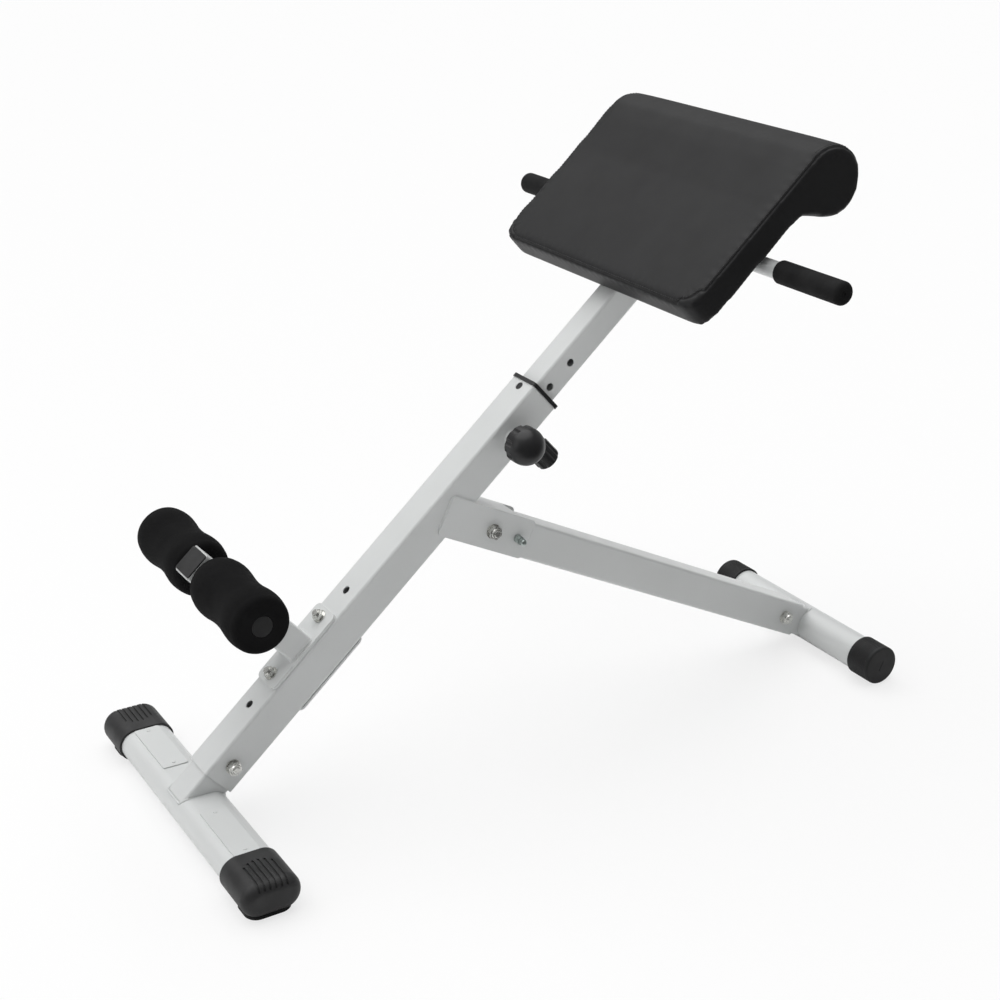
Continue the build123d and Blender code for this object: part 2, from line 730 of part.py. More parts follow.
finish(foam_roller_right, "foam_roller_right")
mirrored(foam_roller_right, "foam_roller_left")

# ---- sliding seat column ----------------------------------------------------
pin_holes = [pin_at + k * seat_pitch for k in range(-2, 4)]
with BuildPart() as seat_tube:
    with BuildSketch(across_post(seat_low)):
        square_tube(seat_size, wall)
    extrude(amount=seat_high - seat_low)
    with BuildSketch(beside_post()):
        with Locations([(s, 0) for s in pin_holes]):
            Circle(seat_hole / 2)
        with Locations((handle_at, handle_rise)):
            Circle(handle_dia / 2 + seat_fit)
    extrude(amount=seat_size, both=True, mode=Mode.SUBTRACT)
finish(seat_tube, "seat_tube")

handle_plane = beside_post().shift_origin(post_foot + u * handle_at + n * handle_rise)
with BuildPart() as handle_bar:
    with BuildSketch(handle_plane):
        Circle(handle_dia / 2)
        Circle(handle_dia / 2 - handle_wall, mode=Mode.SUBTRACT)
    extrude(amount=handle_length / 2, both=True)
finish(handle_bar, "handle_bar")

with BuildPart() as grip_right:
    with BuildSketch(handle_plane.offset(grip_start)):
        Circle(grip_dia / 2)
    extrude(amount=grip_length)
    fillet(grip_right.faces().sort_by(Axis.Y)[0].edges(), radius=grip_round)
    fillet(grip_right.faces().sort_by(Axis.Y)[-1].edges(), radius=grip_lip)
    with BuildSketch(handle_plane.offset(grip_start)):
        Circle(handle_dia / 2 + seat_fit)
    extrude(amount=handle_length / 2 - grip_start, mode=Mode.SUBTRACT)
    with BuildSketch(handle_plane.offset(grip_start)):
        Circle(grip_vent_dia / 2)
    extrude(amount=grip_length, mode=Mode.SUBTRACT)
finish(grip_right, "grip_right")
mirrored(grip_right, "grip_left")

# ---- pad ------------------------------------------------------------------
plate_from = handle_at - pad_plate_before
plate_to = seat_high
plate_middle = (plate_from + plate_to) / 2
pad_screw_spots = [(s, y) for s in (plate_from + pad_screw_inset, plate_to - pad_screw_inset)
                   for y in (-pad_screw_side, pad_screw_side)]
with BuildPart() as pad_plate:
    with BuildSketch(over_post(seat_size / 2)):
        with Locations((plate_middle, 0)):
            RectangleRounded(plate_to - plate_from, pad_plate_width, pad_plate_corner)
        with Locations(pad_screw_spots):
            Circle(m6 / 2 + loose, mode=Mode.SUBTRACT)
    extrude(amount=pad_plate_thickness)
finish(pad_plate, "pad_plate")

board_from = pad_low + board_inset
board_to = roll_at - board_end
board_middle = (board_from + board_to) / 2
with BuildPart() as pad_board:
    with BuildSketch(over_post(pad_back)):
        with Locations((board_middle, 0)):
            RectangleRounded(board_to - board_from, 2 * (pad_half_width - board_inset), board_corner)
        with Locations(pad_screw_spots):
            Circle(m6 / 2, mode=Mode.SUBTRACT)
    extrude(amount=board_thickness)
finish(pad_board, "pad_board")

with BuildPart() as pad_screws:
    with BuildSketch(over_post(seat_size / 2)):
        with Locations(pad_screw_spots):
            Circle(m6 / 2)
    extrude(amount=pad_plate_thickness + board_thickness - pad_screw_short)
    with BuildSketch(over_post(seat_size / 2)):
        with Locations(pad_screw_spots):
            hexagon(pad_screw_across)
    extrude(amount=-pad_screw_head)
finish(pad_screws, "pad_screws")

pad_top = pad_back + pad_thickness
roll_radius = pad_top - roll_rise
with BuildPart() as pad_cushion:
    with BuildSketch(beside_post()):
        with BuildLine():
            under = Line((roll_at - roll_tuck, pad_back), (pad_low, pad_back))
            front = Line(under @ 1, (pad_low, pad_top))
            face = Line(front @ 1, (roll_at, pad_top))
            roll = CenterArc((roll_at, roll_rise), roll_radius, 90, -roll_turn)
            Line(roll @ 1, under @ 0)
        make_face()
    extrude(amount=pad_half_width, both=True)
    fillet(pad_cushion.edges().group_by(Axis(post_foot, u))[0].filter_by(Axis(post_foot, n)),
           radius=pad_corner)
    with BuildSketch(over_post(pad_back)):
        with Locations((board_middle, 0)):
            RectangleRounded(board_to - board_from + 2 * seat_fit,
                             2 * (pad_half_width - board_inset + seat_fit), board_corner + seat_fit)
    extrude(amount=board_thickness + seat_fit, mode=Mode.SUBTRACT)
finish(pad_cushion, "pad_cushion")


# ---- pull pin and clamp screw ----------------------------------------------
def shape_knob(plane, radius, height, fluted, flutes, depth, bore):
    """Cuts finger flutes round the current knob and the bore for its shank."""
    with BuildSketch(plane) as rim:
        with PolarLocations(radius + depth * flute_reach, flutes):
            Circle(depth * flute_radius)
    extrude(rim.sketch, amount=fluted, mode=Mode.SUBTRACT)
    with BuildSketch(plane) as middle:
        Circle(bore / 2)
    extrude(middle.sketch, amount=height * shank_in_knob, mode=Mode.SUBTRACT)


pin_spot = post_foot + u * pin_at
pull_plane = beside_post().shift_origin(pin_spot)
with BuildPart() as pin_housing:
    with BuildSketch(pull_plane.offset(half)):
        Circle(housing_dia / 2)
        Circle(seat_hole / 2, mode=Mode.SUBTRACT)
    extrude(amount=housing_length)
    chamfer(pin_housing.faces().sort_by(Axis.Y)[0].edges(), length=1.0)
finish(pin_housing, "pin_housing")

knob_back = knob_centre + knob_radius - knob_height
plunger_dia = seat_hole - 2 * running
with BuildPart() as pin_plunger:
    with BuildSketch(pull_plane.offset(seat_size / 2 + slide_gap)):
        Circle(plunger_dia / 2)
    extrude(amount=knob_back - seat_size / 2 - slide_gap + knob_height * shank_in_knob)
    chamfer(pin_plunger.faces().sort_by(Axis.Y)[-1].edges(), length=1.0)
finish(pin_plunger, "pin_plunger")

knob_plane = pull_plane.offset(knob_back)
rear_length = knob_height - knob_radius
with BuildPart() as pin_knob:
    with BuildSketch(knob_plane):
        Circle(knob_radius)
    extrude(amount=rear_length)
    fillet(pin_knob.edges().sort_by(Axis.Y)[-1], radius=knob_rear_round)
    with Locations(pull_plane.offset(knob_centre)):
        Sphere(knob_radius)
    with BuildSketch(knob_plane):
        Circle(2 * knob_radius)
    extrude(amount=-knob_radius, mode=Mode.SUBTRACT)
    shape_knob(knob_plane, knob_radius, knob_height, rear_length + knob_flute_past, knob_flutes,
               knob_flute_depth, plunger_dia)
finish(pin_knob, "pin_knob")

clamp_plane = Plane(origin=post_foot + u * clamp_at, x_dir=Y, z_dir=-n)
with BuildPart() as clamp_nut:
    with BuildSketch(clamp_plane.offset(half)):
        hexagon(clamp_nut_across)
        Circle(m10 / 2 + running, mode=Mode.SUBTRACT)
    extrude(amount=clamp_nut_height)
finish(clamp_nut, "clamp_nut")

with BuildPart() as clamp_screw:
    with BuildSketch(clamp_plane.offset(seat_size / 2 + slide_gap)):
        Circle(m10 / 2)
    extrude(amount=clamp_knob_back - seat_size / 2 - slide_gap + clamp_knob_height * shank_in_knob)
finish(clamp_screw, "clamp_screw")

grip_plane = clamp_plane.offset(clamp_knob_back)
with BuildPart() as clamp_knob:
    with BuildSketch(grip_plane):
        Circle(clamp_knob_dia / 2)
    extrude(amount=clamp_knob_height)
    fillet(clamp_knob.edges().sort_by(Axis(grip_plane.origin, grip_plane.z_dir))[-1], radius=clamp_knob_crown)
    shape_knob(grip_plane, clamp_knob_dia / 2, clamp_knob_height, clamp_knob_height, clamp_knob_flutes,
               clamp_knob_flute_depth, m10)
finish(clamp_knob, "clamp_knob")
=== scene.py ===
import json
from math import cos, pi, radians, sin, sqrt

import bmesh
import bpy
import numpy as np
from mathutils import Matrix, Vector
from mathutils.bvhtree import BVHTree


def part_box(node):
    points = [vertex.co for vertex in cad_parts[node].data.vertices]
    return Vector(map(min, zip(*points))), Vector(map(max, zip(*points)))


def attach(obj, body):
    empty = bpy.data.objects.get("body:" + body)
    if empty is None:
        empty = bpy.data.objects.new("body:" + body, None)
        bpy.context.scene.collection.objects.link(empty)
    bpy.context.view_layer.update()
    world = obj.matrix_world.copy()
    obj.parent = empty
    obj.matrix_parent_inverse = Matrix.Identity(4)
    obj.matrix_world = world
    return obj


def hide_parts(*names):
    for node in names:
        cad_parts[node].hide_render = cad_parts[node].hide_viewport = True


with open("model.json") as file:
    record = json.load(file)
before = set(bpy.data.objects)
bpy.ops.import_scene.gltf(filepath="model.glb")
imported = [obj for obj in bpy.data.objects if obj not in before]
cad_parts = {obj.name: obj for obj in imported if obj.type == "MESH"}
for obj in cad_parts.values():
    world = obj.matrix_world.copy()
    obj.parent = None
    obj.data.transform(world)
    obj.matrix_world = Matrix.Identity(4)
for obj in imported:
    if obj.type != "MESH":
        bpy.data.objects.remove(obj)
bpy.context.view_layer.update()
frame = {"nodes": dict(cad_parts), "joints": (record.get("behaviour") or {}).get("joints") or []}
nodes = frame["nodes"]
joints = {j["name"]: j for j in frame["joints"]}

# ---------------------------------------------------------------- frames ----
MM = 0.001
U = Vector(joints["seat_slide"]["axis"]).normalized()     # up along the post
N = Vector((-U.z, 0, U.x))                                # out of its upper face
Y = Vector((0, 1, 0))
HINGE = Vector(joints["leg_fold"]["pos_m"])
POST_FOOT = HINGE - U * 0.4672 + N * 0.0732
low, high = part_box("front_tube")
FRONT = (Vector(low) + Vector(high)) / 2
LU = (FRONT - HINGE).normalized()                         # down along the leg
LN = Vector((-LU.z, 0, LU.x))


def post(s, y, v):
    """A point in millimetres along the post, across it and out of its face."""
    return POST_FOOT + (U * s + Y * y + N * v) * MM


def leg(s, y, v):
    return HINGE + (LU * s + Y * y + LN * v) * MM


# -------------------------------------------------------------- materials ----
class Nodes:
    """Short calls for building one material's node tree."""

    def __init__(self, name, colour, rough, metal=0.0, shine=0.5, **sockets):
        self.material = bpy.data.materials.new(name)
        self.material.use_nodes = True
        self.tree = self.material.node_tree
        self.shader = self.tree.nodes["Principled BSDF"]
        self.shader.inputs["Base Color"].default_value = (*colour, 1)
        self.shader.inputs["Roughness"].default_value = rough
        self.shader.inputs["Metallic"].default_value = metal
        self.shader.inputs["Specular IOR Level"].default_value = shine
        for key, value in sockets.items():
            self.shader.inputs[key.replace("_", " ")].default_value = value
        self.place = self.add("ShaderNodeTexCoord").outputs["Object"]

    def add(self, kind, **settings):
        node = self.tree.nodes.new(kind)
        for key, value in settings.items():
            setattr(node, key, value)
        return node

    def link(self, out, socket):
        self.tree.links.new(out, socket)

    def noise(self, scale, detail=3.0, rough=0.5, distort=0.0):
        node = self.add("ShaderNodeTexNoise")
        node.inputs["Scale"].default_value = scale
        node.inputs["Detail"].default_value = detail
        node.inputs["Roughness"].default_value = rough
        node.inputs["Distortion"].default_value = distort
        self.link(self.place, node.inputs["Vector"])
        return node.outputs["Fac"]

    def cells(self, scale, feature="F1"):
        node = self.add("ShaderNodeTexVoronoi", feature=feature)
        node.inputs["Scale"].default_value = scale
        self.link(self.place, node.inputs["Vector"])
        return node.outputs["Distance"]

    def ramp(self, value, stops):
        node = self.add("ShaderNodeValToRGB")
        node.color_ramp.elements[0].position = stops[0][0]
        node.color_ramp.elements[1].position = stops[-1][0]
        for position, _ in stops[1:-1]:
            node.color_ramp.elements.new(position)
        for element, (_, colour) in zip(node.color_ramp.elements, stops):
            if isinstance(colour, (int, float)):
                colour = (colour, colour, colour)
            element.color = (*colour, 1)
        self.link(value, node.inputs["Fac"])
        return node.outputs["Color"]

    def mix(self, factor, a, b):
        node = self.add("ShaderNodeMix", data_type="RGBA")
        for value, socket in ((factor, node.inputs[0]), (a, node.inputs[6]), (b, node.inputs[7])):
            if isinstance(value, (int, float)):
                socket.default_value = value
            elif isinstance(value, tuple):
                socket.default_value = (*value, 1)
            else:
                self.link(value, socket)
        return node.outputs[2]

    def maths(self, operation, a, b=0.0):
        node = self.add("ShaderNodeMath", operation=operation)
        for value, socket in zip((a, b), node.inputs):
            if isinstance(value, (int, float)):
                socket.default_value = value
            else:
                self.link(value, socket)
        return node.outputs[0]

    def edges(self, radius):
        """A mask that rises where the surface turns a corner; the materials use it for paler edges, partly wear
        and partly painted highlight.
        """
        bevel = self.add("ShaderNodeBevel", samples=4)
        bevel.inputs["Radius"].default_value = radius
        geometry = self.add("ShaderNodeNewGeometry")
        dot = self.add("ShaderNodeVectorMath", operation="DOT_PRODUCT")
        self.link(bevel.outputs[0], dot.inputs[0])
        self.link(geometry.outputs["Normal"], dot.inputs[1])
        return self.maths("SUBTRACT", 1.0, dot.outputs["Value"])

    def bump(self, heights, round_edges=0.0):
        """Chains bumps: heights is a list of (value, distance in metres, strength)."""
        normal = None
        if round_edges:
            bevel = self.add("ShaderNodeBevel", samples=4)
            bevel.inputs["Radius"].default_value = round_edges
            normal = bevel.outputs[0]
        for value, distance, strength in heights:
            node = self.add("ShaderNodeBump")
            node.inputs["Distance"].default_value = distance
            node.inputs["Strength"].default_value = strength
            self.link(value, node.inputs["Height"])
            if normal is not None:
                self.link(normal, node.inputs["Normal"])
            normal = node.outputs[0]
        self.link(normal, self.shader.inputs["Normal"])

    def colour(self, value):
        self.link(value, self.shader.inputs["Base Color"])

    def rough(self, value, least, most):
        node = self.add("ShaderNodeMapRange")
        node.inputs["To Min"].default_value = least
        node.inputs["To Max"].default_value = most
        self.link(value, node.inputs["Value"])
        self.link(node.outputs[0], self.shader.inputs["Roughness"])


def make_paint():
    m = Nodes("frame_paint", (0.70, 0.715, 0.71), 0.34, Coat_Weight=0.12, Coat_Roughness=0.2)
    drift = m.noise(6.0, 3.0)
    even = m.ramp(drift, [(0.3, (0.665, 0.68, 0.675)), (0.7, (0.72, 0.735, 0.732))])
    specks = m.ramp(m.noise(900.0, 1.0), [(0.66, 0.0), (0.76, 1.0)])
    dusty = m.mix(m.maths("MULTIPLY", specks, 0.18), even, (0.45, 0.45, 0.44))
    # Paler paint along the corners: partly wear, partly painted highlight.
    wear_and_highlight = m.maths("MULTIPLY", m.edges(0.0012), m.noise(140.0, 4.0))
    m.colour(m.mix(m.maths("MULTIPLY", wear_and_highlight, 0.9), dusty, (0.86, 0.87, 0.87)))
    m.rough(m.noise(60.0, 5.0), 0.27, 0.44)
    m.bump([(m.noise(520.0, 2.0), 0.00012, 0.22), (m.noise(45.0, 2.0), 0.0003, 0.10)], 0.0009)
    return m.material


def make_zinc(name, colour, rough):
    m = Nodes(name, colour, rough, 1.0)
    tone = m.noise(90.0, 4.0)
    dark = tuple(c * 0.72 for c in colour)
    light = tuple(min(1.0, c * 1.12) for c in colour)
    m.colour(m.ramp(tone, [(0.25, dark), (0.55, colour), (0.8, light)]))
    m.rough(m.noise(700.0, 3.0), rough - 0.08, rough + 0.14)
    m.bump([(m.noise(900.0, 2.0), 0.00006, 0.35)], 0.0004)
    return m.material


def make_black(name, colour, rough, grain, depth, edge=0.0015, wear_and_highlight_share=0.5, shine=0.35):
    m = Nodes(name, colour, rough, shine=shine)
    light = tuple(c * 1.4 + 0.003 for c in colour)
    wear_and_highlight = tuple(c * 2.2 + 0.016 for c in colour)
    base = m.ramp(m.noise(35.0, 5.0), [(0.3, tuple(c * 0.8 for c in colour)), (0.75, light)])
    # Lighter black along the corners: partly wear, partly painted highlight.
    rim_wear_and_highlight = m.maths("MULTIPLY", m.edges(edge), m.noise(220.0, 4.0))
    m.colour(m.mix(m.maths("MULTIPLY", rim_wear_and_highlight, wear_and_highlight_share), base, wear_and_highlight))
    m.rough(m.noise(90.0, 4.0), rough - 0.07, rough + 0.10)
    m.bump([(m.noise(grain, 2.0), depth, 0.5)], 0.0006)
    return m.material


def make_foam():
    """Closed-cell roller foam: fine open pores, very dull."""
    m = Nodes("roller_foam", (0.007, 0.007, 0.0073), 0.95, shine=0.12)
    pores = m.cells(1150.0)
    patch = m.noise(28.0, 4.0)
    skin = m.ramp(patch, [(0.3, (0.0065, 0.0065, 0.0068)), (0.7, (0.0100, 0.0100, 0.0104))])
    # The pore centres are mixed towards near-black: painted shade inside the pores.
    m.colour(m.mix(m.ramp(pores, [(0.05, 1.0), (0.4, 0.0)]), skin, (0.002, 0.002, 0.002)))
    m.bump([(pores, 0.0004, 0.6), (m.noise(420.0, 4.0), 0.0005, 0.5), (m.noise(60.0, 3.0), 0.0008, 0.15)])
    return m.material


def make_vinyl():
    """Soft black upholstery vinyl with a fine pebble grain."""
    m = Nodes("pad_vinyl", (0.014, 0.014, 0.0147), 0.5, shine=0.26)
    grain = m.cells(820.0)
    fine = m.cells(1900.0)
    patch = m.noise(9.0, 4.0)
    m.colour(m.ramp(patch, [(0.3, (0.0120, 0.0120, 0.0126)), (0.75, (0.0155, 0.0155, 0.0163))]))
    m.rough(m.noise(24.0, 5.0), 0.42, 0.56)
    m.bump([(grain, 0.00022, 0.30), (fine, 0.00010, 0.20), (m.noise(30.0, 3.0), 0.0009, 0.08)])
    return m.material


def make_wood():
    m = Nodes("pad_board", (0.34, 0.23, 0.13), 0.62)
    m.colour(m.ramp(m.noise(38.0, 6.0, 0.6, 1.5), [(0.3, (0.24, 0.155, 0.085)), (0.7, (0.42, 0.30, 0.18))]))
    m.bump([(m.noise(300.0, 4.0), 0.0002, 0.4)])
    return m.material


PAINT = make_paint()
ZINC = make_zinc("zinc_steel", (0.74, 0.74, 0.71), 0.24)
PIN_STEEL = make_zinc("pin_steel", (0.50, 0.56, 0.54), 0.32)
CAP = make_black("cap_plastic", (0.021, 0.021, 0.0215), 0.46, 1400.0, 0.00012)
KNOB = make_black("knob_plastic", (0.012, 0.012, 0.0128), 0.34, 2200.0, 0.00005, shine=0.4)
RUBBER = make_black("black_rubber", (0.014, 0.014, 0.0147), 0.58, 1100.0, 0.0002)
# This black also colours the strip in the cushion seam, which is painted seam shadow.
FOOT_RUBBER_AND_SEAM_SHADOW = make_black("foot_rubber_and_seam_shadow", (0.007, 0.007, 0.007), 0.66, 900.0, 0.0002)
GRIP = make_black("grip_foam", (0.0095, 0.0095, 0.0098), 0.78, 900.0, 0.00035, shine=0.2)
FOAM = make_foam()
VINYL = make_vinyl()
WOOD = make_wood()
THREAD = make_black("seam_thread", (0.045, 0.045, 0.047), 0.55, 3000.0, 0.00005, 0.0004)

LOOKS = {
    PAINT: ("base_tube", "base_stub", "main_post", "hinge_bracket", "leg_tube", "leg_stub", "front_tube",
            "roller_plate", "backing_plate", "roller_post", "roller_axle", "seat_tube", "handle_bar",
            "pad_plate", "pin_housing", "tread_plate_right", "tread_plate_left", "tread_screws", "clamp_nut"),
    ZINC: ("post_bolt", "post_nut", "post_washers", "hinge_bolt", "hinge_nut",
           "hinge_washers", "roller_bolts", "roller_washers", "roller_nuts", "leg_bolt", "leg_nut",
           "leg_washers", "pin_plunger", "clamp_screw", "pad_screws"),
    PIN_STEEL: ("lock_pin",),
    CAP: ("base_cap_right", "base_cap_left", "roller_post_plug", "axle_plug_right", "axle_plug_left"),
    KNOB: ("post_sleeve", "pin_knob", "clamp_knob"),
    RUBBER: ("front_cap_right", "front_cap_left"),
    FOOT_RUBBER_AND_SEAM_SHADOW: ("foot_pad_right", "foot_pad_left"),
    GRIP: ("grip_right", "grip_left"),
    FOAM: ("foam_roller_right", "foam_roller_left"),
    VINYL: ("pad_cushion",),
    WOOD: ("pad_board",),
}
for look, names in LOOKS.items():
    for name in names:
        nodes[name].data.materials.clear()
        nodes[name].data.materials.append(look)

# ------------------------------------------------------------ mesh helpers ----
def new_piece(name, points, faces, look, body, slot, smooth=True):
    """A mesh piece in the row frame that rides on a body."""
    mesh = bpy.data.meshes.new(name)
    mesh.from_pydata([tuple(p) for p in points], [], faces)
    tidy = bmesh.new()
    tidy.from_mesh(mesh)
    bmesh.ops.recalc_face_normals(tidy, faces=tidy.faces)
    tidy.to_mesh(mesh)
    tidy.free()
    mesh.materials.append(look)
    for polygon in mesh.polygons:
        polygon.use_smooth = smooth
    piece = bpy.data.objects.new(name, mesh)
    bpy.context.scene.collection.objects.link(piece)
    if body:
        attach(piece, body)
    return piece


def tube(path, radii, sides, closed=False, flat=None):
    """Points and faces of a tube along a path; radii is one value or one per point."""
    path = [Vector(p) for p in path]
    count = len(path)
    if isinstance(radii, (int, float)):
        radii = [radii] * count
    points, faces = [], []
    before = None
    for i, p in enumerate(path):
        if closed:
            along = path[(i + 1) % count] - path[i - 1]
        else:
            along = path[min(i + 1, count - 1)] - path[max(i - 1, 0)]
        along.normalize()
        if before is None:
            side = along.orthogonal().normalized() if flat is None else flat[i]
        else:
            side = before if flat is None else flat[i]
        side = (side - along * side.dot(along)).normalized()
        before = side
        other = along.cross(side)
        for k in range(sides):
            angle = 2 * pi * k / sides
            points.append(p + (side * cos(angle) + other * sin(angle)) * radii[i])
    for i in range(count if closed else count - 1):
        j = (i + 1) % count
        for k in range(sides):
            m = (k + 1) % sides
            faces.append((i * sides + k, i * sides + m, j * sides + m, j * sides + k))
    if not closed:
        faces.append(tuple(range(sides))[::-1])
        faces.append(tuple((count - 1) * sides + k for k in range(sides)))
    return points, faces


def turned(profile, centre, axis, sides, wobble=None):
    """Points and faces of a turned shape. profile is (along the axis, radius) in mm."""
    axis = Vector(axis).normalized()
    side = axis.orthogonal().normalized()
    other = axis.cross(side)
    points, faces = [], []
    rows = len(profile)
    for k in range(sides):
        angle = 2 * pi * k / sides
        out = side * cos(angle) + other * sin(angle)
        for along, radius in profile:
            if wobble:
                radius += wobble(along, angle, radius)
            points.append(Vector(centre) + axis * along * MM + out * radius * MM)
    for k in range(sides):
        m = (k + 1) % sides
        for i in range(rows - 1):
            faces.append((k * rows + i, m * rows + i, m * rows + i + 1, k * rows + i + 1))
    return points, faces


def weld_ends(name_or_piece, distance=1e-6):
    """Merges coincident vertices, such as those of a turned shape on its axis."""
    tidy = bmesh.new()
    tidy.from_mesh(name_or_piece.data)
    bmesh.ops.remove_doubles(tidy, verts=tidy.verts, dist=distance)
    bmesh.ops.recalc_face_normals(tidy, faces=tidy.faces)
    tidy.to_mesh(name_or_piece.data)
    tidy.free()


# ------------------------------------------------------------- hip cushion ----
PAD_LOW, PAD_BACK, PAD_TOP = 800.0, 22.0, 62.0
PAD_HALF = 216.0
ROLL_S, ROLL_V, ROLL_R = 1043.0, 18.5, 43.5
PAD_CORNER = 22.0
BLANK_INSET = 0.6                # how much smaller the unfilled cover is cut
FLAT_MOVE, ROLL_MOVE = 1.6 * MM, 5.0 * MM       # how far the filling may push the cover out
LEAST_FILLED = 0.7               # and at least this share of it, so that no edge is drawn in


def pad_profile(inset):
    """Side outline (s, v) of the cushion, drawn in by inset, at an even spacing."""
    corner = [(985.0, PAD_BACK + inset * 0.3), (PAD_LOW + inset, PAD_BACK + inset * 0.3),
              (PAD_LOW + inset, PAD_TOP - inset), (ROLL_S, PAD_TOP - inset)]
    radius = ROLL_R - inset
    for k in range(1, 30):
        angle = radians(90 - 218 * k / 29)
        corner.append((ROLL_S + radius * cos(angle), ROLL_V + radius * sin(angle)))
    outline = []
    for (s0, v0), (s1, v1) in zip(corner, corner[1:] + corner[:1]):
        steps = max(1, round(sqrt((s1 - s0) ** 2 + (v1 - v0) ** 2) / 6.0))
        outline += [(s0 + (s1 - s0) * i / steps, v0 + (v1 - v0) * i / steps) for i in range(steps)]
    return outline


def cushion_blank(inset):
    """The cushion before it is filled: slices across the pad, rounded lower corners."""
    outline = pad_profile(inset)
    half = PAD_HALF - inset
    stations = [half * sin(pi / 2 * k / 26) for k in range(-26, 27)]
    points, faces = [], []
    for y in stations:
        past = max(0.0, abs(y) - (half - PAD_CORNER))
        start = PAD_LOW + inset + PAD_CORNER - sqrt(max(0.0, PAD_CORNER ** 2 - past ** 2))
        for s, v in outline:
            if s < 850.0:
                s = start + (s - PAD_LOW - inset) * (850.0 - start) / (850.0 - PAD_LOW - inset)
            points.append(post(s, y, v))
    rows = len(outline)
    for j in range(len(stations) - 1):
        for i in range(rows):
            k = (i + 1) % rows
            faces.append((j * rows + i, j * rows + k, (j + 1) * rows + k, (j + 1) * rows + i))
    faces.append(tuple(range(rows)))
    faces.append(tuple((len(stations) - 1) * rows + i for i in range(rows)))
    return points, faces


def apply_modifiers(piece):
    graph = bpy.context.evaluated_depsgraph_get()
    mesh = bpy.data.meshes.new_from_object(piece.evaluated_get(graph))
    piece.modifiers.clear()
    old = piece.data
    piece.data = mesh
    bpy.data.meshes.remove(old)


def coordinates(mesh):
    flat = np.empty(len(mesh.vertices) * 3)
    mesh.vertices.foreach_get("co", flat)
    return flat.reshape(-1, 3)


def set_coordinates(mesh, points):
    mesh.vertices.foreach_set("co", np.ascontiguousarray(points).ravel())
    mesh.update()


def pad_local(points):
    """Row-frame metres to (s, y, v) millimetres."""
    offset = (points - np.array(POST_FOOT)) / MM
    return np.stack([offset @ np.array(U), offset[:, 1], offset @ np.array(N)], axis=1)


def pad_world(local):
    return (np.array(POST_FOOT) + np.outer(local[:, 0], U) * MM + np.outer(local[:, 1], Y) * MM
            + np.outer(local[:, 2], N) * MM)


cushion = new_piece("hip_cushion", *cushion_blank(BLANK_INSET), VINYL, None, None)
remesh = cushion.modifiers.new("remesh", "REMESH")
remesh.mode = "VOXEL"
remesh.voxel_size = 5.0 * MM
remesh.use_smooth_shade = True
apply_modifiers(cushion)
start_points = coordinates(cushion.data)
outward = np.array([tuple(vertex.normal) for vertex in cushion.data.vertices])
cloth = cushion.modifiers.new("cloth", "CLOTH")
cloth.settings.use_pressure = True
cloth.settings.uniform_pressure_force = 4.0
cloth.settings.effector_weights.gravity = 0.0
cloth.settings.quality = 5
cloth.settings.tension_stiffness = 18.0
cloth.settings.compression_stiffness = 18.0
cloth.settings.bending_stiffness = 1.2
cloth.point_cache.frame_start = 1
cloth.point_cache.frame_end = 20
for step in range(1, 21):
    bpy.context.scene.frame_set(step)
apply_modifiers(cushion)
bpy.context.scene.frame_set(1)
swell = np.sum((coordinates(cushion.data) - start_points) * outward, axis=1)
blank_local = pad_local(start_points)
on_roll = np.clip((blank_local[:, 0] - 960.0) / 60.0, 0.0, 1.0)
off_end = 1.0 - 0.5 * np.clip(np.abs(blank_local[:, 1]) / PAD_HALF, 0.0, 1.0) ** 8
allowed = FLAT_MOVE + (ROLL_MOVE - FLAT_MOVE) * on_roll * off_end
filled = start_points + outward * np.clip(swell, LEAST_FILLED * allowed, allowed)[:, None]
local = pad_local(filled)
under = (local[:, 0] < 975.0) & (local[:, 2] < PAD_BACK + 3.0)
local[under, 2] = np.maximum(local[under, 2], PAD_BACK - 0.2)
set_coordinates(cushion.data, pad_world(local))
smooth = cushion.modifiers.new("smooth", "CORRECTIVE_SMOOTH")
smooth.rest_source = "ORCO"
smooth.factor, smooth.iterations = 0.5, 3
smooth.use_only_smooth = True
finer = cushion.modifiers.new("finer", "SUBSURF")
finer.levels = finer.render_levels = 2
apply_modifiers(cushion)

# the seam runs round both end panels and along the lower edge
SEAM = []                        # (origin, outward direction) in (s, y, v)
for k in range(25):
    angle = radians(90 - 205 * (24 - k) / 24)
    SEAM.append(((ROLL_S, -PAD_HALF + ROLL_R, ROLL_V), (cos(angle), -1.0, sin(angle))))
for k in range(1, 45):
    s = ROLL_S + (PAD_LOW + 30 - ROLL_S) * k / 44
    SEAM.append(((s, -PAD_HALF + 22, PAD_TOP - 22), (0.0, -1.0, 1.0)))
for k in range(1, 12):
    angle = pi / 2 * k / 12
    SEAM.append(((PAD_LOW + 30, -PAD_HALF + 30, PAD_TOP - 20), (-sin(angle), -cos(angle), 0.92)))
for k in range(0, 41):
    y = (-PAD_HALF + 30) * (1 - k / 40)
    SEAM.append(((PAD_LOW + 22, y, PAD_TOP - 22), (-1.0, 0.0, 1.0)))
SEAM += [((o[0], -o[1], o[2]), (d[0], -d[1], d[2])) for o, d in SEAM[-2::-1]]


def cast_seam(surface, lean):
    """Where the seam's rays leave the cushion; lean tips them towards the top panel."""
    hits = []
    for origin, way in SEAM:
        start = post(*origin)
        direction = U * way[0] + Y * way[1] + N * way[2]
        flat_part = Vector((0, way[1], 0)) if abs(way[1]) > 0.5 else U * way[0]
        direction = direction.normalized() - flat_part.normalized() * lean
        found, normal, _, _ = surface.ray_cast(start, direction.normalized())
        if found is not None:
            hits.append((found, normal))
    return hits


